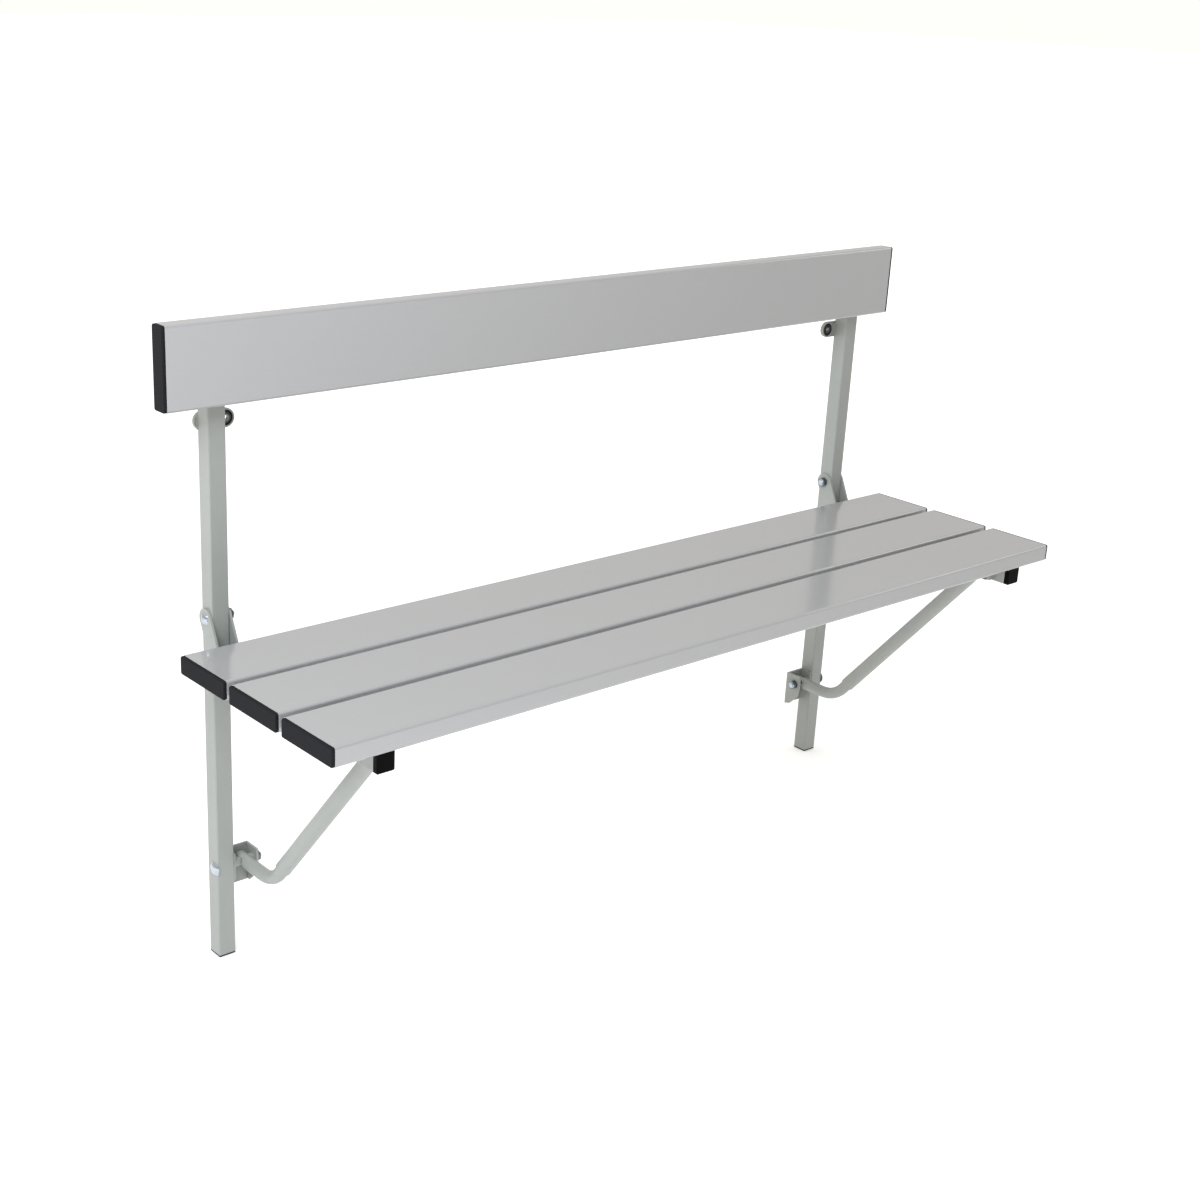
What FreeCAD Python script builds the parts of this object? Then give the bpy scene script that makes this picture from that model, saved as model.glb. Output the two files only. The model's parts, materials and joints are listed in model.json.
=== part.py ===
import FreeCAD, Part
import math
import os
import Sketcher

# Wall-mounted bench with a seat that folds up, in millimetres, +Z up.
# The wall is the plane Y = 0 and the bench stands out from it along -Y.
# X = 0 is half way between the two posts, and Z = 0 is the height of the two wall holes.
# "Left" is at -X, as seen by somebody who faces the wall.
# The pieces that come in pairs are built on the left and mirrored.

SIZES = {
    # Boards: one hollow aluminium profile serves the seat and the backrest
    "board_length": 1300,
    "board_width": 104,
    "board_thickness": 25,
    "board_gap": 10.5,
    "board_wall": 1.8,
    "board_edge_radius": 3.5,
    "cap_thickness": 4.5,
    "cap_inset": 0.5,
    "cap_bevel": 1,
    "plug_depth": 14,
    "plug_clearance": 0.3,
    # Square tube of the posts and bearers
    "tube_side": 25,
    "tube_wall": 1.5,
    "tube_corner": 2,
    "tube_cap_thickness": 2.5,
    "tube_cap_bevel": 0.8,
    "tube_plug_depth": 10,
    # Where the posts stand
    "post_margin": 58,
    "seat_rear_gap": 29,
    "seat_height": 460,
    "post_top_drop": 8,
    # Backrest
    "backrest_rise": 301.5,
    "backrest_left_lead": 9,
    "backrest_right_lag": 23,
    "backrest_screw_gap": 2.5,
    # Strap, bush and sleeve at each wall hole
    "strap_rise": 273,
    "strap_thickness": 5,
    "strap_height": 24,
    "strap_overhang": 4.2,
    "wall_hole_inset": 15,
    "wall_hole_diameter": 6.4,
    "bush_diameter": 19.6,
    "bush_recess": 0.8,
    "sleeve_diameter": 10,
    # Hinge
    "hinge_rise": 22,
    "bolt_diameter": 8,
    "running_clearance": 0.05,
    "hinge_sleeve_diameter": 12,
    "side_play": 0.3,
    "plate_thickness": 3,
    "plate_head_radius": 13.5,
    "plate_lead": 33.3,
    "hinge_head_diameter": 16,
    "hinge_head_height": 4,
    "nut_flats": 13,
    "nut_height": 6.5,
    "thread_end": 2.5,
    # Bearers under the seat
    "bearer_setback": 3.5,
    "bearer_cap_thickness": 7.5,
    "bearer_end_gap": 3,
    # Screws that hold the boards
    "screw_diameter": 6,
    "screw_hole_clearance": 0.2,
    "screw_head_diameter": 12,
    "screw_head_height": 3.2,
    "screw_reach": 8,
    # Stays: a straight tube, its spacer, and the bent foot that is let into it
    "stay_diameter": 22,
    "stay_wall": 1.5,
    "stay_setback": 39.4,
    "stay_top_gap": 1,
    "spacer_thickness": 7.5,
    "spacer_length": 40,
    "spacer_height": 20,
    "spacer_seat": 2,
    "foot_clearance": 0.3,
    "foot_wall": 2,
    "foot_corner_setback": 295,
    "foot_bend_radius": 55,
    "foot_shown": 40,
    "foot_hidden": 22,
    "foot_tip_reach": 10.5,
    "foot_tip_solid": 24,
    "foot_tip_radius": 2,
    "lip_rest_gap": 0.3,
    "notch_front_gap": 4.5,
    "notch_corner": 4,
    # Catch bolt, its sleeve and its bracket: a leg on the post, a web and a free flange
    "catch_drop": 328.5,
    "catch_setback": 7,
    "catch_head_diameter": 20.6,
    "catch_head_height": 4.9,
    "catch_sleeve_diameter": 12,
    "fork_width": 29,
    "bracket_thickness": 3,
    "bracket_rise": 16,
    "bracket_drop": 39.5,
    "bracket_lead": 4,
    "bracket_corner": 3,
    "leg_inset": 1.5,
    "nose_drop": 2.5,
    "chin_drop": 20.5,
    "chin_setback": 2.5,
    "throat_drop": 27,
    "throat_setback": 8.5,
    "heel_drop": 37.5,
    "heel_width": 9.8,
    # Length by which every cutting tool runs past the piece that it cuts
    "overrun": 2,
}

# Places and sizes that follow from the driving sizes
PLACES = {
    "half_length": "sizes.board_length / 2",
    "pitch": "sizes.board_width + sizes.board_gap",
    "seat_top": "-sizes.strap_rise",
    "post_rear": "-sizes.strap_thickness",
    "post_middle": "post_rear - sizes.tube_side / 2",
    "post_front": "post_rear - sizes.tube_side",
    "seat_rear": "post_front - sizes.seat_rear_gap",
    "seat_front": "seat_rear - 3 * sizes.board_width - 2 * sizes.board_gap",
    "post_outer": "-half_length + sizes.post_margin",
    "post_axis": "post_outer + sizes.tube_side / 2",
    "post_inner": "post_outer + sizes.tube_side",
    "floor": "seat_top - sizes.seat_height",
    "post_foot": "floor + sizes.tube_cap_thickness",
    "backrest_low": "seat_top + sizes.backrest_rise",
    "backrest_middle": "backrest_low + sizes.board_width / 2",
    "post_head": "backrest_low + sizes.board_width - sizes.post_top_drop",
    "post_top": "post_head - sizes.tube_cap_thickness",
    "post_length": "post_top - post_foot",
    "backrest_start": "-half_length - sizes.backrest_left_lead",
    "backrest_end": "half_length - sizes.backrest_right_lag",
    "backrest_length": "backrest_end - backrest_start",
    "tube_bore": "sizes.tube_side - 2 * sizes.tube_wall",
    "tube_plug": "tube_bore - 2 * sizes.plug_clearance",
    "cell_pitch": "(sizes.board_width - sizes.board_wall) / 3",
    "cell_width": "cell_pitch - sizes.board_wall",
    "cell_depth": "sizes.board_thickness - 2 * sizes.board_wall",
    "board_middle": "seat_top - sizes.board_thickness / 2",
    "board_under": "seat_top - sizes.board_thickness",
    "bearer_middle": "board_under - sizes.tube_side / 2",
    "bearer_under": "board_under - sizes.tube_side",
    "bearer_start": "seat_front + sizes.bearer_setback + sizes.bearer_cap_thickness",
    "bearer_end": "post_front - sizes.bearer_end_gap - sizes.tube_cap_thickness",
    "bearer_length": "bearer_end - bearer_start",
    "hinge_height": "seat_top + sizes.hinge_rise",
    "inner_plate_face": "post_inner + sizes.side_play",
    "hinge_head_face": "post_outer - sizes.side_play - sizes.plate_thickness",
    "hinge_nut_face": "inner_plate_face + sizes.plate_thickness",
    "plate_lean": "atan(sizes.plate_lead / (hinge_height - bearer_under))",
    "plate_across": "sizes.plate_head_radius * cos(plate_lean)",
    "plate_up": "sizes.plate_head_radius * sin(plate_lean)",
    "plate_foot_middle": "post_middle - sizes.plate_lead",
    "plate_half_foot": "sizes.plate_head_radius / cos(plate_lean)",
    "nut_grip": "sizes.nut_height + sizes.thread_end",
    "hinge_bolt_length": "hinge_nut_face + nut_grip - hinge_head_face",
    "nut_corner_radius": "sizes.nut_flats / 2 / cos(30 deg)",
    "bolt_radius": "sizes.bolt_diameter / 2",
    "bolt_hole_radius": "bolt_radius + sizes.running_clearance",
    "screw_radius": "sizes.screw_diameter / 2",
    "screw_hole_radius": "screw_radius + sizes.screw_hole_clearance",
    "upper_screw": "post_top - sizes.tube_plug_depth - sizes.backrest_screw_gap - screw_radius",
    "lower_screw": "2 * backrest_middle - upper_screw",
    "wall_hole": "post_inner + sizes.wall_hole_inset",
    "strap_inner_centre": "wall_hole",
    "strap_outer_centre": "post_outer - sizes.strap_overhang + sizes.strap_height / 2",
    "bush_radius": "sizes.bush_diameter / 2",
    "bush_face": "post_rear + sizes.bush_recess",
    "catch_height": "seat_top - sizes.catch_drop",
    "catch_middle": "post_front + sizes.catch_setback",
    "bracket_top": "catch_height + sizes.bracket_rise",
    "bracket_low": "catch_height - sizes.bracket_drop",
    "bracket_front": "post_front - sizes.bracket_lead",
    "web_front": "post_rear - sizes.bracket_thickness",
    "leg_face": "post_inner + sizes.bracket_thickness",
    "flange_face": "leg_face + sizes.fork_width",
    "flange_back": "flange_face + sizes.bracket_thickness",
    "leg_front": "post_front + sizes.leg_inset",
    "chin": "bracket_front + sizes.chin_setback",
    "throat": "bracket_front + sizes.throat_setback",
    "heel": "post_rear - sizes.heel_width",
    "catch_bolt_length": "flange_back + nut_grip - post_outer",
    "catch_sleeve_radius": "sizes.catch_sleeve_diameter / 2",
    "stay_radius": "sizes.stay_diameter / 2",
    "stay_bore_radius": "stay_radius - sizes.stay_wall",
    "stay_lane": "post_inner + sizes.spacer_thickness + stay_radius",
    "stay_start": "seat_front + sizes.stay_setback",
    "stay_top": "board_under - sizes.stay_top_gap",
    "bar_thickness": "sizes.spacer_thickness + sizes.spacer_seat",
    "foot_corner": "seat_front + sizes.foot_corner_setback",
    "foot_tip": "catch_middle + sizes.foot_tip_reach",
    "foot_radius": "stay_bore_radius - sizes.foot_clearance",
    "lip_under": "catch_height + catch_sleeve_radius + sizes.lip_rest_gap",
    "notch_front": "catch_middle - catch_sleeve_radius - sizes.notch_front_gap",
}

AXIS_X = FreeCAD.Vector(1, 0, 0)
AXIS_Y = FreeCAD.Vector(0, 1, 0)
AXIS_Z = FreeCAD.Vector(0, 0, 1)

# Turns of a piece that is drawn in its own XY plane and rises along its own +Z
UPRIGHT = FreeCAD.Rotation()
UPSIDE_DOWN = FreeCAD.Rotation(AXIS_X, 180)
TO_RIGHT = FreeCAD.Rotation(AXIS_Y, 90)
TO_LEFT = FreeCAD.Rotation(AXIS_Y, -90)
TO_WALL = FreeCAD.Rotation(AXIS_X, -90)
TO_ROOM = FreeCAD.Rotation(AXIS_X, 90)
# Side view: the drawing's axes become +Y and +Z, and the piece rises along +X, or -X
SIDE_VIEW = FreeCAD.Rotation(AXIS_X + AXIS_Y + AXIS_Z, 120)
SIDE_VIEW_LEFT = FreeCAD.Rotation(AXIS_Z, 180) * SIDE_VIEW

CELLS = 3

# Rows of boards from front to rear, and the places of what comes at both posts
BOARD_ROWS = {
    name: f"places.seat_front + sizes.board_width / 2 + {row} * places.pitch"
    for row, name in enumerate(("front", "middle", "rear"))
}
POST_AXES = ("places.post_axis", "-places.post_axis")
BACKREST_SCREWS = ("places.lower_screw", "places.upper_screw")

doc = FreeCAD.newDocument("bench")
nodes = []


def fill_sheet(name, values, prefix):
    """Write one value per row, and give each cell its word as alias."""
    sheet = doc.addObject("Spreadsheet::Sheet", name)
    for row, (word, value) in enumerate(values.items(), start=1):
        sheet.set(f"A{row}", word)
        sheet.set(f"B{row}", prefix + str(value))
        sheet.setAlias(f"B{row}", word)
    doc.recompute()
    return sheet


sizes = fill_sheet("sizes", SIZES, "")
places = fill_sheet("places", PLACES, "=")


def number(word):
    """Present value of a size or a place."""
    value = sizes.get(word) if word in SIZES else places.get(word)
    return float(getattr(value, "Value", value))


def bind(piece, **bindings):
    """Tie properties of a piece to expressions; x, y and z stand for its place."""
    for key, text in bindings.items():
        path = f"Placement.Base.{key}" if key in ("x", "y", "z") else key
        piece.setExpression(path, text)
    return piece


def keep(piece, label):
    """Give a finished piece the name of its node."""
    piece.Label = label
    nodes.append(piece)
    return piece


def keep_pair(piece, name):
    """Keep a left piece, and its mirror image as the right one."""
    keep(piece, "left_" + name)
    twin = doc.addObject("Part::Mirroring", "mirror")
    twin.Source = piece
    twin.Normal = AXIS_X
    return piece, keep(twin, "right_" + name)


def box(x, y, z, length, width, height):
    """Box from its corner at the least x, y and z."""
    piece = doc.addObject("Part::Box", "box")
    return bind(piece, x=x, y=y, z=z, Length=length, Width=width, Height=height)


def cylinder(x, y, z, radius, height, turn):
    """Cylinder that starts at a point and runs the way the turn sends +Z."""
    piece = doc.addObject("Part::Cylinder", "cylinder")
    piece.Placement = FreeCAD.Placement(FreeCAD.Vector(), turn)
    return bind(piece, x=x, y=y, z=z, Radius=radius, Height=height)


def fuse(*pieces):
    joined = doc.addObject("Part::MultiFuse", "joined")
    joined.Shapes = list(pieces)
    joined.Refine = True
    return joined


def cut(base, *tools):
    trimmed = doc.addObject("Part::Cut", "trimmed")
    trimmed.Base = base
    trimmed.Tool = tools[0] if len(tools) == 1 else fuse(*tools)
    return trimmed


def dimension(sketch, kind, line, start, text):
    """Dimension from the origin to the start of a line, tied to an expression."""
    mark = sketch.addConstraint(Sketcher.Constraint(kind, -1, 1, line, 1, start))
    sketch.setExpression(f"Constraints[{mark}]", text)


def sketch_of(body, loops):
    """Sketch of closed loops, whose corners are pairs of expressions."""
    sketch = body.newObject("Sketcher::SketchObject", "outline")
    ground = next(item for item in body.Origin.OriginFeatures if item.Role == "XY_Plane")
    sketch.AttachmentSupport = [(ground, "")]
    sketch.MapMode = "FlatFace"
    for corners in loops:
        first = sketch.GeometryCount
        count = len(corners)
        turns = [math.tau * index / count for index in range(count + 1)]
        points = [FreeCAD.Vector(math.cos(turn), math.sin(turn), 0) for turn in turns]
        for index in range(count):
            sketch.addGeometry(Part.LineSegment(points[index], points[index + 1]))
        for index, (across, up) in enumerate(corners):
            line = first + index
            following = first + (index + 1) % count
            sketch.addConstraint(Sketcher.Constraint("Coincident", line, 2, following, 1))
            dimension(sketch, "DistanceX", line, points[index].x, across)
            dimension(sketch, "DistanceY", line, points[index].y, up)
    return sketch


def rectangle(middle_x, middle_y, width, height):
    """Corners of a rectangle about a middle, as pairs of expressions."""
    left = f"{middle_x} - ({width}) / 2"
    right = f"{middle_x} + ({width}) / 2"
    low = f"{middle_y} - ({height}) / 2"
    high = f"{middle_y} + ({height}) / 2"
    return [(left, low), (right, low), (right, high), (left, high)]


def new_body(x, y, z, turn):
    body = doc.addObject("PartDesign::Body", "body")
    body.Placement = FreeCAD.Placement(FreeCAD.Vector(), turn)
    return bind(body, x=x, y=y, z=z)


def pad(body, loops, length, downwards=False):
    feature = body.newObject("PartDesign::Pad", "pad")
    feature.Profile = sketch_of(body, loops)
    feature.Reversed = downwards
    bind(feature, Length=length)
    doc.recompute()
    return feature


def edges_along(shape):
    """Names of the straight edges that run along the piece's own Z."""
    names = []
    for index, edge in enumerate(shape.Edges, start=1):
        ends = [vertex.Point for vertex in edge.Vertexes]
        if len(ends) == 2 and (ends[1] - ends[0]).cross(AXIS_Z).Length < edge.Length / 1000:
            names.append(f"Edge{index}")
    return names


def edges_on_top(shape):
    """Names of the edges that bound the piece's own top face."""
    top = shape.BoundBox.ZMax
    size = shape.BoundBox.DiagonalLength
    names = []
    for index, edge in enumerate(shape.Edges, start=1):
        if all(abs(vertex.Z - top) < size / 1000 for vertex in edge.Vertexes):
            names.append(f"Edge{index}")
    return names


def round_edges(body, feature, names, radius):
    rounded = body.newObject("PartDesign::Fillet", "rounded")
    rounded.Base = (feature, names)
    bind(rounded, Radius=radius)
    doc.recompute()
    return rounded


def bevel_edges(body, feature, names, size):
    bevelled = body.newObject("PartDesign::Chamfer", "bevelled")
    bevelled.Base = (feature, names)
    bind(bevelled, Size=size)
    doc.recompute()
    return bevelled


def hollow(body, loops):
    """Cut closed loops right through the piece, along its own Z."""
    pocket = body.newObject("PartDesign::Pocket", "pocket")
    pocket.Profile = sketch_of(body, loops)
    pocket.Type = "ThroughAll"
    pocket.Reversed = True
    doc.recompute()
    return pocket


def cells(width, height):
    """Loops of the hollow profile's cells, side by side across the board."""
    middle = (CELLS - 1) / 2
    middles = [f"({index} - {middle}) * places.cell_pitch" for index in range(CELLS)]
    return [rectangle("0", place, height, width) for place in middles]


def board(x, y, z, length, turn):
    """Length of the hollow profile, from its end at x, y, z."""
    body = new_body(x, y, z, turn)
    outline = rectangle("0", "0", "sizes.board_thickness", "sizes.board_width")
    solid = pad(body, [outline], length)
    round_edges(body, solid, edges_along(solid.Shape), "sizes.board_edge_radius")
    hollow(body, cells("places.cell_width", "places.cell_depth"))
    return body


def board_cap(label, x, y, z, turn):
    """End cap with a bevelled face and one plug for each cell."""
    body = new_body(x, y, z, turn)
    width = "sizes.board_width - 2 * sizes.cap_inset"
    height = "sizes.board_thickness - 2 * sizes.cap_inset"
    plate = pad(body, [rectangle("0", "0", height, width)], "sizes.cap_thickness")
    corner = "sizes.board_edge_radius - sizes.cap_inset"
    plate = round_edges(body, plate, edges_along(plate.Shape), corner)
    bevel_edges(body, plate, edges_on_top(plate.Shape), "sizes.cap_bevel")
    plug_width = "places.cell_width - 2 * sizes.plug_clearance"
    plug_height = "places.cell_depth - 2 * sizes.plug_clearance"
    pad(body, cells(plug_width, plug_height), "sizes.plug_depth", downwards=True)
    return keep(body, label)


def square_tube(x, y, z, length, turn):
    body = new_body(x, y, z, turn)
    solid = pad(body, [rectangle("0", "0", "sizes.tube_side", "sizes.tube_side")], length)
    round_edges(body, solid, edges_along(solid.Shape), "sizes.tube_corner")
    hollow(body, [rectangle("0", "0", "places.tube_bore", "places.tube_bore")])
    return body


def tube_cap(x, y, z, thickness, turn):
    """Plastic cap of a square tube, with its plug."""
    body = new_body(x, y, z, turn)
    plate = pad(body, [rectangle("0", "0", "sizes.tube_side", "sizes.tube_side")], thickness)
    plate = round_edges(body, plate, edges_along(plate.Shape), "sizes.tube_corner")
    bevel_edges(body, plate, edges_on_top(plate.Shape), "sizes.tube_cap_bevel")
    plug = rectangle("0", "0", "places.tube_plug", "places.tube_plug")
    pad(body, [plug], "sizes.tube_plug_depth", downwards=True)
    return body


def dome(x, y, z, diameter, height, turn):
    """Shallow domed bolt head that stands on its flat side."""
    curve = f"({diameter} ^ 2 / 4 + {height} ^ 2) / (2 * {height})"
    sink = f"({curve} - {height})"
    piece = doc.addObject("Part::Sphere", "dome")
    piece.Placement = FreeCAD.Placement(FreeCAD.Vector(), turn)
    bind(piece, Radius=curve, Angle1=f"asin({sink} / ({curve}))")
    away = turn.multVec(AXIS_Z)
    return bind(piece, x=f"{x} - ({away.x:.0f}) * {sink}", y=y, z=z)


def hex_nut(x, y, z):
    """Hexagon nut on a bolt that lies along X, with its bore at the thread's clearance."""
    blank = doc.addObject("Part::Prism", "blank")
    blank.Polygon = 6
    blank.Placement = FreeCAD.Placement(FreeCAD.Vector(), TO_RIGHT)
    bind(blank, x=x, y=y, z=z, Circumradius="places.nut_corner_radius", Height="sizes.nut_height")
    start = f"{x} - sizes.overrun"
    length = "sizes.nut_height + 2 * sizes.overrun"
    return cut(blank, cylinder(start, y, z, "places.bolt_hole_radius", length, TO_RIGHT))


def build_posts():
    """Posts with their caps, holes and the sleeves that line the hinge holes."""
    x = "places.post_axis"
    y = "places.post_middle"
    post = square_tube(x, y, "places.post_foot", "places.post_length", UPRIGHT)
    across = "sizes.tube_side + 2 * sizes.overrun"
    beside = "places.post_outer - sizes.overrun"
    before = "places.post_front - sizes.overrun"
    hinge = "places.hinge_height"
    catch = "places.catch_height"
    sleeve_radius = "sizes.hinge_sleeve_diameter / 2"
    holes = [
        cylinder(beside, y, hinge, sleeve_radius, across, TO_RIGHT),
        cylinder(beside, "places.catch_middle", catch, "places.bolt_hole_radius", across, TO_RIGHT),
    ]
    for height in BACKREST_SCREWS:
        holes.append(cylinder(x, before, height, "places.screw_hole_radius", across, TO_WALL))
    keep_pair(cut(post, *holes), "post")
    thickness = "sizes.tube_cap_thickness"
    keep_pair(tube_cap(x, y, "places.post_foot", thickness, UPSIDE_DOWN), "foot_cap")
    keep_pair(tube_cap(x, y, "places.post_top", thickness, UPRIGHT), "post_top_cap")
    lining = cylinder("places.post_outer", y, hinge, sleeve_radius, "sizes.tube_side", TO_RIGHT)
    bore = cylinder(beside, y, hinge, "places.bolt_hole_radius", across, TO_RIGHT)
    keep_pair(cut(lining, bore), "hinge_sleeve")


def build_wall_fixings():
    """Strap behind each post, and the bush and sleeve in its wall hole."""
    radius = "sizes.strap_height / 2"
    span = "places.strap_inner_centre - places.strap_outer_centre"
    thickness = "sizes.strap_thickness"
    rear = "places.post_rear"
    strap = fuse(
        box("places.strap_outer_centre", rear, f"-({radius})", span, thickness, "sizes.strap_height"),
        cylinder("places.strap_outer_centre", rear, "0", radius, thickness, TO_WALL),
        cylinder("places.strap_inner_centre", rear, "0", radius, thickness, TO_WALL),
    )

    def through(radius):
        depth = "sizes.strap_thickness + 2 * sizes.overrun"
        return cylinder("places.wall_hole", f"{rear} - sizes.overrun", "0", radius, depth, TO_WALL)

    keep_pair(cut(strap, through("places.bush_radius")), "wall_strap")
    face = "places.bush_face"
    bush = cylinder("places.wall_hole", face, "0", "places.bush_radius", f"-{face}", TO_WALL)
    keep_pair(cut(bush, through("sizes.sleeve_diameter / 2")), "wall_bush")
    sleeve = cylinder("places.wall_hole", rear, "0", "sizes.sleeve_diameter / 2", thickness, TO_WALL)
    keep_pair(cut(sleeve, through("sizes.wall_hole_diameter / 2")), "wall_sleeve")


def build_hinges():
    """Two slanted plates on each post, which turn on a bolt through the post."""
    y = "places.post_middle"
    z = "places.hinge_height"
    thickness = "sizes.plate_thickness"
    corners = [
        (f"{y} + places.plate_across", f"{z} - places.plate_up"),
        (f"{y} - places.plate_across", f"{z} + places.plate_up"),
        ("places.plate_foot_middle - places.plate_half_foot", "places.bearer_under"),
        ("places.plate_foot_middle + places.plate_half_foot", "places.bearer_under"),
    ]
    for side, face in (("outer", "places.hinge_head_face"), ("inner", "places.inner_plate_face")):
        leaf = new_body(face, "0", "0", SIDE_VIEW)
        pad(leaf, [corners], thickness)
        ear = cylinder(face, y, z, "sizes.plate_head_radius", thickness, TO_RIGHT)
        start = f"{face} - sizes.overrun"
        length = f"{thickness} + 2 * sizes.overrun"
        hole = cylinder(start, y, z, "places.bolt_hole_radius", length, TO_RIGHT)
        keep_pair(cut(fuse(leaf, ear), hole), f"hinge_plate_{side}")
    face = "places.hinge_head_face"
    shank = cylinder(face, y, z, "places.bolt_radius", "places.hinge_bolt_length", TO_RIGHT)
    head = dome(face, y, z, "sizes.hinge_head_diameter", "sizes.hinge_head_height", TO_LEFT)
    keep_pair(fuse(shank, head), "hinge_bolt")
    keep_pair(hex_nut("places.hinge_nut_face", y, z), "hinge_nut")


def build_seat_boards():
    """Three boards side by side, each with a cap at both ends."""
    z = "places.board_middle"
    for name, y in BOARD_ROWS.items():
        plank = board("-places.half_length", y, z, "sizes.board_length", TO_RIGHT)
        low = "places.board_under - sizes.overrun"
        depth = "sizes.board_wall + 2 * sizes.overrun"
        radius = "places.screw_hole_radius"
        holes = [cylinder(x, y, low, radius, depth, UPRIGHT) for x in POST_AXES]
        keep(cut(plank, *holes), f"seat_board_{name}")
        board_cap(f"seat_cap_{name}_left", "-places.half_length", y, z, TO_LEFT)
        board_cap(f"seat_cap_{name}_right", "places.half_length", y, z, TO_RIGHT)


def screw(x, y, z, turn):
    """Screw whose head lies against the outside of a tube and whose shank runs into a board."""
    length = "sizes.tube_side + sizes.screw_reach"
    shank = cylinder(x, y, z, "places.screw_radius", length, turn)
    away = turn.multVec(AXIS_Z)
    height = "sizes.screw_head_height"
    seat_y = f"{y} - ({away.y:.0f}) * {height}"
    seat_z = f"{z} - ({away.z:.0f}) * {height}"
    return shank, cylinder(x, seat_y, seat_z, "sizes.screw_head_diameter / 2", height, turn)


def build_backrest():
    """One board on the fronts of the posts, a little off centre, and its screws."""
    y = "places.post_front - sizes.board_thickness / 2"
    z = "places.backrest_middle"
    plank = board("places.backrest_start", y, z, "places.backrest_length", SIDE_VIEW)
    front = "places.post_front - sizes.board_wall - sizes.overrun"
    depth = "sizes.board_wall + 2 * sizes.overrun"
    holes = []
    screws = []
    for x in POST_AXES:
        for height in BACKREST_SCREWS:
            holes.append(cylinder(x, front, height, "places.screw_hole_radius", depth, TO_WALL))
            screws.extend(screw(x, "places.post_rear", height, TO_ROOM))
    keep(cut(plank, *holes), "backrest_board")
    board_cap("backrest_cap_left", "places.backrest_start", y, z, SIDE_VIEW_LEFT)
    board_cap("backrest_cap_right", "places.backrest_end", y, z, SIDE_VIEW)
    keep(fuse(*screws), "backrest_screws")


def build_bearers():
    """Tubes under the seat in line with the posts, and the screws up into the boards."""
    x = "places.post_axis"
    z = "places.bearer_middle"
    bearer = square_tube(x, "places.bearer_start", z, "places.bearer_length", TO_WALL)
    low = "places.bearer_under - sizes.overrun"
    through = "sizes.tube_side + 2 * sizes.overrun"
    holes = []
    screws = []
    for y in BOARD_ROWS.values():
        holes.append(cylinder(x, y, low, "places.screw_hole_radius", through, UPRIGHT))
        for axis in POST_AXES:
            screws.extend(screw(axis, y, "places.bearer_under", UPRIGHT))
    keep_pair(cut(bearer, *holes), "bearer")
    front_cap = tube_cap(x, "places.bearer_start", z, "sizes.bearer_cap_thickness", TO_ROOM)
    keep_pair(front_cap, "bearer_front_cap")
    rear_cap = tube_cap(x, "places.bearer_end", z, "sizes.tube_cap_thickness", TO_WALL)
    keep_pair(rear_cap, "bearer_rear_cap")
    keep(fuse(*screws), "seat_screws")


def keep_shape(shape, name):
    """Keep a left piece that is built as a bare shape, and its mirror image."""
    piece = doc.addObject("Part::Feature", name)
    piece.Shape = shape
    return keep_pair(piece, name)


def build_stays():
    """Slanted tube beside each bearer, its spacer, and the bent foot that rests on the catch."""
    lane = number("stay_lane")
    start = FreeCAD.Vector(lane, number("stay_start"), number("board_under"))
    corner = FreeCAD.Vector(lane, number("foot_corner"), number("catch_height"))
    tip = FreeCAD.Vector(lane, number("foot_tip"), number("catch_height"))
    rising = (start - corner).normalize()
    level = (tip - corner).normalize()
    low = corner + rising * number("foot_shown")
    spare = number("stay_diameter") + number("overrun")
    high = start + rising * spare

    def rod(radius):
        return Part.makeCylinder(radius, (high - low).Length, low, rising)

    outside = rod(number("stay_radius"))
    above = FreeCAD.Vector(lane - spare, high.y - spare, number("stay_top"))
    trimming = Part.makeBox(2 * spare, start.y - high.y + 2 * spare, spare * 2, above)
    keep_shape(outside.cut(rod(number("stay_bore_radius"))).cut(trimming), "stay_tube")

    bar_middle = start + rising * ((number("bearer_middle") - start.z) / rising.z)
    bar_corner = FreeCAD.Vector(
        number("post_inner"),
        bar_middle.y - number("spacer_length") / 2,
        bar_middle.z - number("spacer_height") / 2,
    )
    bar_sides = (number("bar_thickness"), number("spacer_length"), number("spacer_height"))
    bar = Part.makeBox(*bar_sides, bar_corner)
    keep_shape(bar.cut(outside), "stay_spacer")

    bend = number("foot_bend_radius")
    turn = math.pi - rising.getAngle(level)
    tangent = bend * math.tan(turn / 2)
    bend_start = corner + rising * tangent
    bend_end = corner + level * tangent
    inward = (rising + level).normalize()
    centre = corner + inward * (bend / math.cos(turn / 2))
    bend_middle = centre - inward * bend
    top = low + rising * number("foot_hidden")

    def swept(radius, end):
        path = Part.Wire([
            Part.makeLine(top, bend_start),
            Part.Arc(bend_start, bend_middle, bend_end).toShape(),
            Part.makeLine(bend_end, end),
        ])
        ring = Part.Wire([Part.makeCircle(radius, top, rising * -1)])
        return path.makePipeShell([ring], True, False)

    radius = number("foot_radius")
    foot = swept(radius, tip)
    rim = [
        edge for edge in foot.Edges
        if all(abs(end.Y - tip.y) < radius / 1000 for end in edge.Vertexes)
    ]
    foot = foot.makeFillet(number("foot_tip_radius"), rim)
    foot = foot.cut(swept(radius - number("foot_wall"), tip - level * number("foot_tip_solid")))
    under = number("lip_under")
    notch_corner = FreeCAD.Vector(lane - radius, number("notch_front"), under - spare)
    notch = Part.makeBox(2 * radius, spare, spare, notch_corner)
    inside = [
        edge for edge in notch.Edges
        if all(end.Y < notch_corner.y + radius and end.Z > under - radius for end in edge.Vertexes)
    ]
    keep_shape(foot.cut(notch.makeFillet(number("notch_corner"), inside)), "stay_foot")


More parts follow.
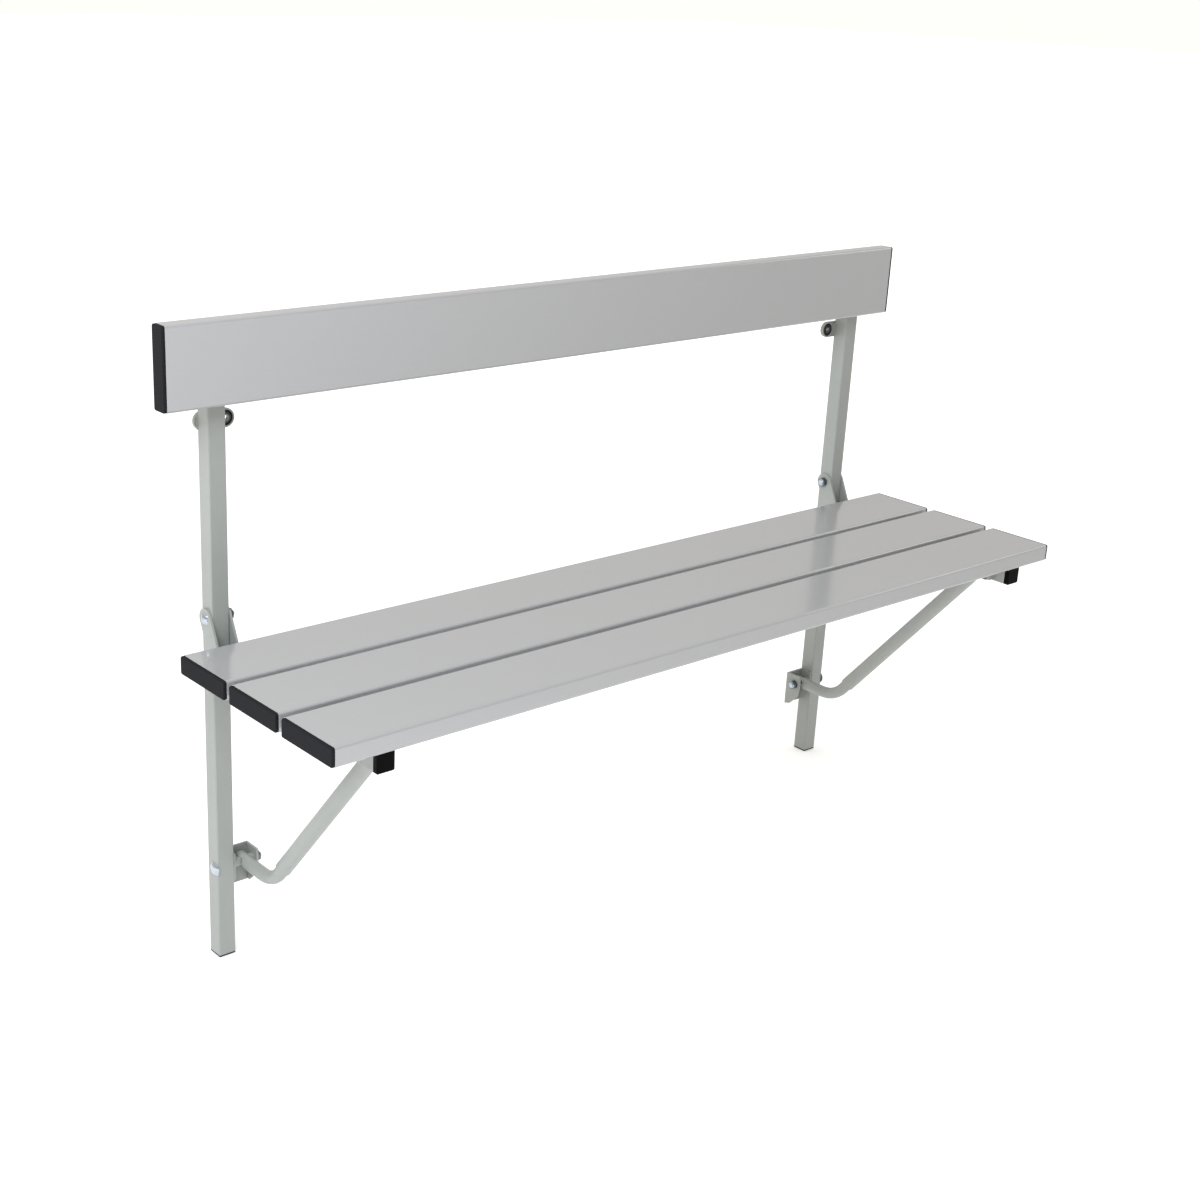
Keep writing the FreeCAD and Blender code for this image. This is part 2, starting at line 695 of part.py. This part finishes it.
def bracket_side(face, corners):
    """Upright side of a catch bracket, with the corners in front of its middle rounded."""
    leaf = new_body(face, "0", "0", SIDE_VIEW)
    plate = pad(leaf, [corners], "sizes.bracket_thickness")
    middle = plate.Shape.BoundBox.Center.x
    names = [
        name for name in edges_along(plate.Shape)
        if plate.Shape.getElement(name).CenterOfMass.x < middle
    ]
    round_edges(leaf, plate, names, "sizes.bracket_corner")
    return leaf


def build_catches():
    """Forked bracket on each post, and the sleeved bolt in its fork that the foot rests on."""
    y = "places.catch_middle"
    z = "places.catch_height"
    rear = "places.post_rear"
    front = "places.bracket_front"
    thickness = "sizes.bracket_thickness"
    web = box("places.post_inner", "places.web_front", "places.bracket_low",
              "places.flange_back - places.post_inner", thickness,
              "places.bracket_top - places.bracket_low")
    lower_edge = [
        ("places.throat", f"{z} - sizes.throat_drop"),
        ("places.heel", f"{z} - sizes.heel_drop"),
        (rear, "places.bracket_low"),
    ]
    flange = bracket_side("places.flange_face", [
        (rear, "places.bracket_top"),
        (front, "places.bracket_top"),
        (front, f"{z} - sizes.nose_drop"),
        ("places.chin", f"{z} - sizes.chin_drop"),
        *lower_edge,
    ])
    leg = bracket_side("places.post_inner", [
        (rear, "places.bracket_top"),
        ("places.leg_front", "places.bracket_top"),
        ("places.leg_front", f"{z} - sizes.chin_drop"),
        *lower_edge,
    ])

    def bore():
        start = "places.post_inner - sizes.overrun"
        across = "places.flange_back - places.post_inner + 2 * sizes.overrun"
        return cylinder(start, y, z, "places.bolt_hole_radius", across, TO_RIGHT)

    keep_pair(cut(fuse(web, leg, flange), bore()), "catch_bracket")
    sleeve = cylinder("places.leg_face", y, z, "places.catch_sleeve_radius", "sizes.fork_width", TO_RIGHT)
    keep_pair(cut(sleeve, bore()), "catch_sleeve")
    face = "places.post_outer"
    shank = cylinder(face, y, z, "places.bolt_radius", "places.catch_bolt_length", TO_RIGHT)
    head = dome(face, y, z, "sizes.catch_head_diameter", "sizes.catch_head_height", TO_LEFT)
    keep_pair(fuse(shank, head), "catch_bolt")
    keep_pair(hex_nut("places.flange_back", y, z), "catch_nut")


def check_and_export():
    """Refuse failed objects and bad shapes, then write each node to its own file."""
    doc.recompute()
    for item in doc.Objects:
        if "Invalid" in item.State or "Error" in item.State:
            raise RuntimeError(f"{item.Name} ({item.Label}) failed: {item.State}")
    for node in nodes:
        if node.Shape.isNull() or not node.Shape.isValid() or not node.Shape.Solids:
            raise RuntimeError(f"{node.Label} has no valid solid")
    os.makedirs("parts", exist_ok=True)
    for node in nodes:
        node.Shape.exportStep(f"parts/{node.Label}.step")
        print(f"{node.Label}: {len(node.Shape.Solids)} solid(s), {node.Shape.Volume:.0f} mm3")


build_posts()
build_wall_fixings()
build_backrest()
build_seat_boards()
build_bearers()
build_hinges()
build_stays()
build_catches()
check_and_export()
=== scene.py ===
"""Wall-mounted bench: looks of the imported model, in metres, in the frame of the CAD."""
import json
import math

import bpy
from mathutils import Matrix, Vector


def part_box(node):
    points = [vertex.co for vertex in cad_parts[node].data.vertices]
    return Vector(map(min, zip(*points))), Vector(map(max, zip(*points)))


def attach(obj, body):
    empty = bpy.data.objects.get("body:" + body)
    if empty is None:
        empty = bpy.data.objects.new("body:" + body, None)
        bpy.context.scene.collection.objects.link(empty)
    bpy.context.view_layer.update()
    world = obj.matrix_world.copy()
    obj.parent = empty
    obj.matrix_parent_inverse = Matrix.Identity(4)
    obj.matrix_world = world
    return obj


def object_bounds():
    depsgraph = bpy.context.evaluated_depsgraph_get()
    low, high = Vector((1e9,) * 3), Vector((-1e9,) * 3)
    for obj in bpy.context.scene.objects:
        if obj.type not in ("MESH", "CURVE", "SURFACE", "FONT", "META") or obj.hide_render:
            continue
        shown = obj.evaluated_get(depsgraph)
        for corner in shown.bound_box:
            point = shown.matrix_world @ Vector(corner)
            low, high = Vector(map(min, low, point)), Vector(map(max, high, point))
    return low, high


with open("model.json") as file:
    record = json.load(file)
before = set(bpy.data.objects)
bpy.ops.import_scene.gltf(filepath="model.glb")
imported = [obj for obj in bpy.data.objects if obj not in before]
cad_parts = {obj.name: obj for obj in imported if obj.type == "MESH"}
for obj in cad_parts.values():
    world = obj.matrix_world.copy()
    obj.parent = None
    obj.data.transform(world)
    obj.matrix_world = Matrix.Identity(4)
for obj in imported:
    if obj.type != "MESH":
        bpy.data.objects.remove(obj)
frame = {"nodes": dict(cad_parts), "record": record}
cad_low, cad_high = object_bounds()
nodes = frame["nodes"]

# Looks of the surfaces. A noise is its scale, detail and roughness, and perhaps its stretch.
# "tint" mixes the two shades, which are in the 0 to 255 of a picture, "wear" spreads the
# roughness, and "grain" makes the bumps, whose strength and depth follow. Without a noise of
# their own, wear and grain take the tint's.
LOOKS = {
    # Light grey-green powder coat: an even satin film with a faint orange peel
    "frame_paint": {
        "tint": (7, 4, 0.6),
        "shades": ((148, 151, 147), (157, 160, 156)),
        "wear": (90, 2, 0.5),
        "roughness": (0.34, 0.46),
        "grain": (650, 1, 0.5),
        "bump": (0.16, 0.0005),
    },
    # Satin aluminium profile with fine drawing lines along its length, and bare cut ends
    "board_metal": {
        "tint": (1600, 1, 0.5, (0.02, 1, 1)),
        "shades": ((171, 171, 172), (176, 176, 177)),
        "cut_ends": (238, 238, 238),
        "roughness": (0.13, 0.17),
        "bump": (0.02, 0.0001),
        "sockets": {"Metallic": 0.3},
    },
    # Dark grey moulded plastic with a fine spark-eroded texture
    "end_cap_plastic": {
        "tint": (1100, 4, 0.75),
        "shades": ((12, 12, 14), (44, 44, 48)),
        "roughness": (0.5, 0.8),
        "bump": (0.6, 0.0003),
        "sockets": {"Specular IOR Level": 0.06},
    },
    # Black polyethylene, smooth, with slight marks of handling
    "tube_cap_plastic": {
        "tint": (240, 4, 0.6),
        "shades": ((2, 2, 3), (5, 5, 7)),
        "roughness": (0.42, 0.58),
        "bump": (0.08, 0.0002),
        "sockets": {"Specular IOR Level": 0.05},
    },
    # Matt black rubber
    "bush_rubber": {
        "tint": (900, 3, 0.6),
        "shades": ((10, 10, 11), (26, 26, 26)),
        "roughness": (0.6, 0.8),
        "bump": (0.2, 0.0002),
        "sockets": {"Specular IOR Level": 0.25},
    },
    # The bush's lip, polished grey by the screw's washer
    "lip_rubber": {
        "tint": (900, 3, 0.6),
        "shades": ((52, 51, 46), (84, 83, 77)),
        "roughness": (0.4, 0.6),
        "bump": (0.15, 0.0002),
    },
    # Bright zinc plate with a faint bluish passivation and fine wear
    "zinc_steel": {
        "tint": (160, 3, 0.6),
        "shades": ((150, 160, 172), (206, 212, 218)),
        "wear": (700, 2, 0.5),
        "roughness": (0.14, 0.28),
        "grain": (1500, 2, 0.5),
        "bump": (0.10, 0.0001),
        "sockets": {"Metallic": 1.0},
    },
    # Steel of the nuts and wall sleeves, darker than the bolts, with an oily patchy sheen
    "dull_steel": {
        "tint": (320, 4, 0.7),
        "shades": ((52, 55, 60), (138, 144, 150)),
        "wear": (700, 2, 0.5),
        "roughness": (0.20, 0.34),
        "grain": (1500, 2, 0.5),
        "bump": (0.10, 0.0001),
        "sockets": {"Metallic": 1.0},
    },
}
UNSTRETCHED = (1, 1, 1)
NOISE_RANGE = (0, 1)
# A picture's white, and the curve of its shades as the sRGB standard gives it
SHADE_WHITE = 255
SRGB_LINEAR_END = 0.04045
SRGB_SLOPE = 12.92
SRGB_OFFSET = 0.055
SRGB_POWER = 2.4
# Least share of X in the direction of a face that counts as a board's cut end
END_ON = 0.9
# Sockets of a colour's Mix node, several of which have the same name
MIX_FACTOR, MIX_FIRST, MIX_SECOND = 0, 6, 7
MIX_COLOUR = 2

# CAD nodes, without their side's name, in the darker steel, and those cut from plate or bar
DULL_NODES = ("hinge_nut", "catch_nut", "wall_sleeve")
SHARP_NODES = ("wall_strap", "catch_bracket", "hinge_plate_outer", "hinge_plate_inner", "stay_spacer")
EDGE_WIDTH = 0.0004
EDGE_SEGMENTS = 2
EDGE_ANGLE = math.radians(50)

# Weld beads: the two radii, and the runs, whose ripples are shares of the radius
WIDE_BEAD = 0.0014
NARROW_BEAD = 0.0013
BEAD_STEP = 0.0008
BEAD_LEAST_STEPS = 8
BEAD_SIDES = 10
RIPPLE = 0.16
RIPPLE_STEPS = 4
UNEVENNESS = 0.06
UNEVEN_TURN = 1.7
TIP_SHARE = 0.35
TIP_GROWTH = 12
# How deep the strap's beads lie in the post, and how far the beads stop from their seams' ends
STRAP_BEAD_SUNK = 0.0002
STRAP_BEAD_INSET = 0.002
PLATE_BEAD_REAR = 0.034
PLATE_BEAD_FRONT = 0.004
SPACER_BEAD_INSET = 0.001
STAY_BEAD_INSET = 0.004

# Raised lip on the face of a rubber bush
LIP_RADIUS = 0.0064
LIP_THICKNESS = 0.0008
LIP_STEPS = 48
LIP_SIDES = 8

# Collar of a lock nut: height over the nut's face and radius, with the bore's edge last
COLLAR = (
    (0, 0.0056),
    (0.0006, 0.0056),
    (0.0012, 0.0053),
    (0.0016, 0.0047),
    (0.0017, 0.0042),
    (0.0012, 0.0041),
)
COLLAR_BORE = 0.0041
COLLAR_SIDES = 40
# Thread that stands out of the collar, short of the bolt's end; both start inside the nut
SUNK = 0.0002
THREAD_RADIUS = 0.0039
THREAD_RIDGE = 0.00032
THREAD_PITCH = 0.00125
THREAD_SHORT = 0.0006
THREAD_STEPS = 28
THREAD_SIDES = 6

# Floor: half its width, its gap under the feet, and its surface
FLOOR_REACH = 30
FLOOR_GAP = 0.0005
FLOOR_TINT = (2, 2, 0.5)
FLOOR_SHADES = ((240, 240, 240), (246, 246, 246))
FLOOR_ROUGHNESS = 0.9
WHITE = (1, 1, 1, 1)
# The floor's own glow grows between two distances from the middle
GLOW_DISTANCE = (1, 5)
FLOOR_GLOW = (0.38, 0.62)
# The glow fades out beyond the right edge of the photograph's view, between two distances
# across that edge
ACROSS_EDGE = (-0.577, 1, 0)
EDGE_FADE = (-1.75, -1.0)
EDGE_LIGHT = (0, 1)
# Part of it stays in front of the bench and fades to the right, as the boards' fronts mirror it
TO_RIGHT = (1, 0.9, 0)
RIGHT_FADE = (-1.83, 1.2)
RIGHT_LIGHT = (0.58, 0)

# Surroundings: light away from and towards the bright side, above and behind the bench, and a
# bright band over the horizon
BRIGHT_SIDE = Vector((-0.10, 0.45, 0.90)).normalized()
OPPOSITE_TO_ALIGNED = (-1, 1)
SKY_LIGHT = (0.08, 1.02)
BAND_RISE = (0.04, 0.24)
BAND_LIGHT = (1.02, 0)
SKY_COLOUR = (1, 0.98, 0.94, 1)

# Name, place, size, power and colour of each lamp
LAMPS = (
    ("key", (-1.9, -1.05, 1.4), 1.2, 44, (0.84, 0.91, 1.0)),
    ("edge", (2.8, -1.35, 1.4), 1.0, 5, (1.0, 0.98, 0.95)),
)

# The photograph's viewpoint, solved from the places of 20 corners in its 1200 x 1200 frame
PHOTO_WIDTH = 1200
PHOTO_CENTRE = 500
PHOTO_FOCUS = 1788
SENSOR_WIDTH = 36
EYE_PLACE = (-1.6453, -1.8713, 0.5438)
EYE_TURNS = (70.187, -1.898, -38.828)

ALONG_X = Vector((1, 0, 0))


def linear(red, green, blue):
    """Colour given in the 0 to 255 of a picture, as Blender's linear colour."""
    colour = []
    for part in (red, green, blue):
        part /= SHADE_WHITE
        if part <= SRGB_LINEAR_END:
            colour.append(part / SRGB_SLOPE)
        else:
            colour.append(((part + SRGB_OFFSET) / (1 + SRGB_OFFSET)) ** SRGB_POWER)
    return (*colour, 1)


class Nodes:
    """Node tree of a material or world with its shader, and short ways to add and join nodes."""

    def __init__(self, holder, shader):
        holder.use_nodes = True
        self.holder = holder
        self.tree = holder.node_tree
        self.shader = self.tree.nodes[shader]

    def add(self, kind, **values):
        node = self.tree.nodes.new(kind)
        for key, value in values.items():
            setattr(node, key, value)
        return node

    def join(self, source, target):
        self.tree.links.new(source, target)

    def drive(self, socket, source):
        """Join a value to one of the shader's inputs."""
        self.join(source, self.shader.inputs[socket])

    def noise(self, scale, detail, roughness, stretch=UNSTRETCHED):
        """Noise in the object's own metres, which may be stretched along an axis."""
        place = self.add("ShaderNodeTexCoord")
        mapping = self.add("ShaderNodeMapping")
        mapping.inputs["Scale"].default_value = stretch
        self.join(place.outputs["Object"], mapping.inputs["Vector"])
        noise = self.add("ShaderNodeTexNoise")
        noise.inputs["Scale"].default_value = scale
        noise.inputs["Detail"].default_value = detail
        noise.inputs["Roughness"].default_value = roughness
        self.join(mapping.outputs["Vector"], noise.inputs["Vector"])
        return noise.outputs["Fac"]

    def ramp(self, value, dark, light):
        """Colour between two shades."""
        ramp = self.add("ShaderNodeValToRGB")
        ramp.color_ramp.elements[0].color = linear(*dark)
        ramp.color_ramp.elements[1].color = linear(*light)
        self.join(value, ramp.inputs["Fac"])
        return ramp.outputs["Color"]

    def spread(self, value, given, wanted):
        """Value that goes from one wanted number to the other as the given one does."""
        spread = self.add("ShaderNodeMapRange")
        for word, ends in (("From", given), ("To", wanted)):
            for limit, number in zip(("Min", "Max"), ends):
                spread.inputs[f"{word} {limit}"].default_value = number
        self.join(value, spread.inputs["Value"])
        return spread.outputs["Result"]

    def along(self, place, direction):
        """How far a place lies along a direction."""
        product = self.add("ShaderNodeVectorMath", operation="DOT_PRODUCT")
        product.inputs[1].default_value = direction
        self.join(place, product.inputs[0])
        return product.outputs["Value"]

    def combine(self, operation, first, second):
        """Two values put together by an operation of the Math node."""
        both = self.add("ShaderNodeMath", operation=operation)
        self.join(first, both.inputs[0])
        self.join(second, both.inputs[1])
        return both.outputs["Value"]

    def bump(self, height, strength, depth):
        bump = self.add("ShaderNodeBump")
        bump.inputs["Strength"].default_value = strength
        bump.inputs["Distance"].default_value = depth
        self.join(height, bump.inputs["Height"])
        self.drive("Normal", bump.outputs["Normal"])

    def cut_ends(self, colour, shade):
        """Colour that gives way to a shade on faces that look along X."""
        geometry = self.add("ShaderNodeNewGeometry")
        split = self.add("ShaderNodeSeparateXYZ")
        self.join(geometry.outputs["Normal"], split.inputs["Vector"])
        size = self.add("ShaderNodeMath", operation="ABSOLUTE")
        self.join(split.outputs["X"], size.inputs[0])
        end_on = self.add("ShaderNodeMath", operation="GREATER_THAN")
        end_on.inputs[1].default_value = END_ON
        self.join(size.outputs["Value"], end_on.inputs[0])
        mix = self.add("ShaderNodeMix", data_type="RGBA")
        mix.inputs[MIX_SECOND].default_value = linear(*shade)
        self.join(end_on.outputs["Value"], mix.inputs[MIX_FACTOR])
        self.join(colour, mix.inputs[MIX_FIRST])
        return mix.outputs[MIX_COLOUR]


def make_material(name):
    """Material of one of the looks."""
    recipe = LOOKS[name]
    look = Nodes(bpy.data.materials.new(name), "Principled BSDF")
    tint = look.noise(*recipe["tint"])
    wear = look.noise(*recipe["wear"]) if "wear" in recipe else tint
    grain = look.noise(*recipe["grain"]) if "grain" in recipe else tint
    colour = look.ramp(tint, *recipe["shades"])
    if "cut_ends" in recipe:
        colour = look.cut_ends(colour, recipe["cut_ends"])
    look.drive("Base Color", colour)
    look.drive("Roughness", look.spread(wear, NOISE_RANGE, recipe["roughness"]))
    for socket, value in recipe.get("sockets", {}).items():
        look.shader.inputs[socket].default_value = value
    look.bump(grain, *recipe["bump"])
    return look.holder


MATERIALS = {name: make_material(name) for name in LOOKS}


def dress_nodes():
    """Give every CAD node its slot's material, but nuts and sleeves the darker steel, and break cut
    plates' edges.
    """
    for part in frame["record"]["subparts"]:
        node = nodes[part["node"]]
        kind = part["node"].split("_", 1)[-1]
        look = "dull_steel" if kind in DULL_NODES else part["material_slot"]
        for slot in node.material_slots:
            slot.material = MATERIALS[look]
        if kind in SHARP_NODES:
            bevel = node.modifiers.new("broken_edges", "BEVEL")
            bevel.width = EDGE_WIDTH
            bevel.segments = EDGE_SEGMENTS
            bevel.limit_method = "ANGLE"
            bevel.angle_limit = EDGE_ANGLE


def put(name, data):
    """New object of the scene, which holds the data."""
    thing = bpy.data.objects.new(name, data)
    bpy.context.scene.collection.objects.link(thing)
    return thing


def piece(name, rings, slot, body, closed=False):
    """Skin over rings of points, capped at its two ends or closed on itself."""
    mesh = bpy.data.meshes.new(name)
    count = len(rings[0])
    points = [point for ring in rings for point in ring]
    faces = []
    for row in range(len(rings) if closed else len(rings) - 1):
        first = row * count
        second = (row + 1) % len(rings) * count
        for step in range(count):
            after = (step + 1) % count
            faces.append((first + step, first + after, second + after, second + step))
    if not closed:
        faces.append(tuple(reversed(range(count))))
        faces.append(tuple(range(len(points) - count, len(points))))
    mesh.from_pydata(points, [], faces)
    mesh.shade_smooth()
    mesh.materials.append(MATERIALS[slot])
    thing = put(name, mesh)
    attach(thing, body)
    return thing


def ring_round(centre, along, reach, count):
    """Points round a centre, square to a direction."""
    side = along.orthogonal().normalized()
    other = along.cross(side).normalized()
    turns = [math.tau * step / count for step in range(count)]
    return [centre + side * reach * math.cos(turn) + other * reach * math.sin(turn) for turn in turns]


def bush_lips():
    """The raised lip moulded on the face of each rubber bush."""
    for side in ("left", "right"):
        low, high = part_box(side + "_wall_bush")
        middle = (low + high) / 2
        rings = []
        for step in range(LIP_STEPS):
            turn = math.tau * step / LIP_STEPS
            across = LIP_RADIUS * math.cos(turn)
            up = LIP_RADIUS * math.sin(turn)
            centre = Vector((middle.x + across, low.y, middle.z + up))
            along = Vector((-math.sin(turn), 0, math.cos(turn)))
            rings.append(ring_round(centre, along, LIP_THICKNESS, LIP_SIDES))
        lip = piece(side + "_bush_lip", rings, "bush_rubber", "frame", closed=True)
        lip.data.materials[0] = MATERIALS["lip_rubber"]


def weld(name, start, end, reach, body):
    """Bead of weld along a seam, with the ripples of its runs, under the paint."""
    start = Vector(start)
    along = Vector(end) - start
    steps = max(BEAD_LEAST_STEPS, round(along.length / BEAD_STEP))
    rings = []
    for step in range(steps + 1):
        share = step / steps
        ripple = RIPPLE * math.sin(step * math.tau / RIPPLE_STEPS)
        swell = 1 + ripple + UNEVENNESS * math.sin(step * UNEVEN_TURN)
        taper = min(1, TIP_SHARE + TIP_GROWTH * min(share, 1 - share))
        rings.append(ring_round(start + along * share, along, reach * swell * taper, BEAD_SIDES))
    piece(name, rings, "frame_paint", body)


def strap_welds(side):
    """Beads on both sides of a post, along the strap across its back."""
    post_low, post_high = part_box(side + "_post")
    low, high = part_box(side + "_wall_strap")
    seam = post_high.y - STRAP_BEAD_SUNK
    for name, x in zip(("inner", "outer"), sorted((post_low.x, post_high.x), key=abs)):
        start = (x, seam, low.z + STRAP_BEAD_INSET)
        end = (x, seam, high.z - STRAP_BEAD_INSET)
        weld(f"{side}_strap_weld_{name}", start, end, WIDE_BEAD, "frame")


def plate_welds(side):
    """Beads between a bearer's underside and the two hinge plates beside it."""
    bearer_low, bearer_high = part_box(side + "_bearer")
    low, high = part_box(side + "_hinge_plate_outer")
    for name, x in (("inner", bearer_low.x), ("outer", bearer_high.x)):
        start = (x, high.y - PLATE_BEAD_REAR, bearer_low.z)
        end = (x, low.y + PLATE_BEAD_FRONT, bearer_low.z)
        weld(f"{side}_plate_weld_{name}", start, end, NARROW_BEAD, "seat")


def stay_welds(side):
    """Beads that hold a spacer to its bearer, and the stay to the spacer."""
    low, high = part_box(side + "_stay_spacer")
    at_stay, at_bearer = sorted((low.x, high.x), key=abs)
    for name, z in (("top", high.z), ("bottom", low.z)):
        start = (at_bearer, low.y + SPACER_BEAD_INSET, z)
        end = (at_bearer, high.y - SPACER_BEAD_INSET, z)
        weld(f"{side}_spacer_weld_{name}", start, end, NARROW_BEAD, "seat")
    start = (at_stay, low.y + STAY_BEAD_INSET, low.z)
    end = (at_stay, high.y - STAY_BEAD_INSET, low.z)
    weld(side + "_stay_weld", start, end, WIDE_BEAD, "seat")


def collar(name, face, out, centre_y, centre_z):
    """Collar on the outer face of a lock nut, turned about an axis along X."""
    profile = [(face + out * (height - SUNK), reach) for height, reach in COLLAR]
    rings = []
    for x, reach in (*profile, (face, COLLAR_BORE)):
        rings.append(ring_round(Vector((x, centre_y, centre_z)), ALONG_X, reach, COLLAR_SIDES))
    piece(name, rings, "zinc_steel", "frame", closed=True)


def thread(name, face, out, length, centre_y, centre_z):
    """The ridge of a bolt's thread, wound out of the nut's face."""
    steps = max(1, round(length / THREAD_PITCH)) * THREAD_STEPS
    rings = []
    for step in range(steps + 1):
        turn = math.tau * step / THREAD_STEPS
        x = face + out * (SUNK + length * step / steps)
        y = centre_y + THREAD_RADIUS * math.cos(turn)
        z = centre_z + THREAD_RADIUS * math.sin(turn)
        along = Vector((0, -math.sin(turn), math.cos(turn)))
        rings.append(ring_round(Vector((x, y, z)), along, THREAD_RIDGE, THREAD_SIDES))
    piece(name, rings, "zinc_steel", "frame")


def lock_nuts():
    """Collars and threads on the four lock nuts, which all stay with the frame."""
    for side, out in (("left", 1), ("right", -1)):
        for bolt in ("hinge", "catch"):
            nut_low, nut_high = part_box(f"{side}_{bolt}_nut")
            bolt_low, bolt_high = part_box(f"{side}_{bolt}_bolt")
            face = nut_high.x if out > 0 else nut_low.x
            bolt_end = bolt_high.x if out > 0 else bolt_low.x
            centre = ((nut_low.y + nut_high.y) / 2, (nut_low.z + nut_high.z) / 2)
            length = abs(bolt_end - face) - THREAD_SHORT
            collar(f"{side}_{bolt}_nut_collar", face, out, *centre)
            thread(f"{side}_{bolt}_bolt_thread", face, out, length, *centre)


def floor():
    """Pale floor with a glow of its own, which keeps it white in the photograph's view."""
    level = cad_low.z - FLOOR_GAP
    turns = ((-1, -1), (1, -1), (1, 1), (-1, 1))
    mesh = bpy.data.meshes.new("floor")
    mesh.from_pydata([(x * FLOOR_REACH, y * FLOOR_REACH, level) for x, y in turns], [], [(0, 1, 2, 3)])
    put("floor", mesh)

    look = Nodes(bpy.data.materials.new("floor"), "Principled BSDF")
    look.drive("Base Color", look.ramp(look.noise(*FLOOR_TINT), *FLOOR_SHADES))
    look.shader.inputs["Roughness"].default_value = FLOOR_ROUGHNESS
    look.shader.inputs["Emission Color"].default_value = WHITE
    place = look.add("ShaderNodeTexCoord").outputs["Object"]
    away = look.add("ShaderNodeVectorMath", operation="LENGTH")
    look.join(place, away.inputs[0])
    glow = look.spread(away.outputs["Value"], GLOW_DISTANCE, FLOOR_GLOW)
    in_view = look.spread(look.along(place, ACROSS_EDGE), EDGE_FADE, EDGE_LIGHT)
    in_front = look.spread(look.along(place, TO_RIGHT), RIGHT_FADE, RIGHT_LIGHT)
    lit = look.combine("MAXIMUM", in_view, in_front)
    look.drive("Emission Strength", look.combine("MULTIPLY", glow, lit))
    mesh.materials.append(look.holder)


def surroundings():
    """White surroundings, bright on one side and dim on the other, with a bright band low down."""
    sky = Nodes(bpy.data.worlds.new("studio"), "Background")
    place = sky.add("ShaderNodeTexCoord").outputs["Generated"]
    side = sky.spread(sky.along(place, BRIGHT_SIDE), OPPOSITE_TO_ALIGNED, SKY_LIGHT)
    split = sky.add("ShaderNodeSeparateXYZ")
    sky.join(place, split.inputs["Vector"])
    band = sky.spread(split.outputs["Z"], BAND_RISE, BAND_LIGHT)
    sky.drive("Strength", sky.combine("MAXIMUM", side, band))
    sky.shader.inputs["Color"].default_value = SKY_COLOUR
    bpy.context.scene.world = sky.holder


def lamps():
    """A soft bluish key lamp at the left and a weak warm one at the right, aimed at the bench."""
    middle = (cad_low + cad_high) / 2
    for name, place, size, power, colour in LAMPS:
        light = bpy.data.lights.new(name, "AREA")
        light.shape = "DISK"
        light.size = size
        light.energy = power
        light.color = colour
        lamp = put(name, light)
        lamp.location = place
        lamp.rotation_euler = (middle - lamp.location).to_track_quat("-Z", "Y").to_euler()


def camera():
    """The photograph's viewpoint, with a small shift for its framing."""
    lens = bpy.data.cameras.new("camera")
    lens.sensor_width = SENSOR_WIDTH
    lens.lens = SENSOR_WIDTH * PHOTO_FOCUS / PHOTO_WIDTH
    lens.shift_x = (PHOTO_WIDTH / 2 - PHOTO_CENTRE) / PHOTO_WIDTH
    eye = put("camera", lens)
    eye.location = EYE_PLACE
    eye.rotation_euler = [math.radians(angle) for angle in EYE_TURNS]
    bpy.context.scene.camera = eye


dress_nodes()
bush_lips()
for side in ("left", "right"):
    strap_welds(side)
    plate_welds(side)
    stay_welds(side)
lock_nuts()
floor()
surroundings()
lamps()
camera()
bpy.context.scene.view_settings.view_transform = "Standard"
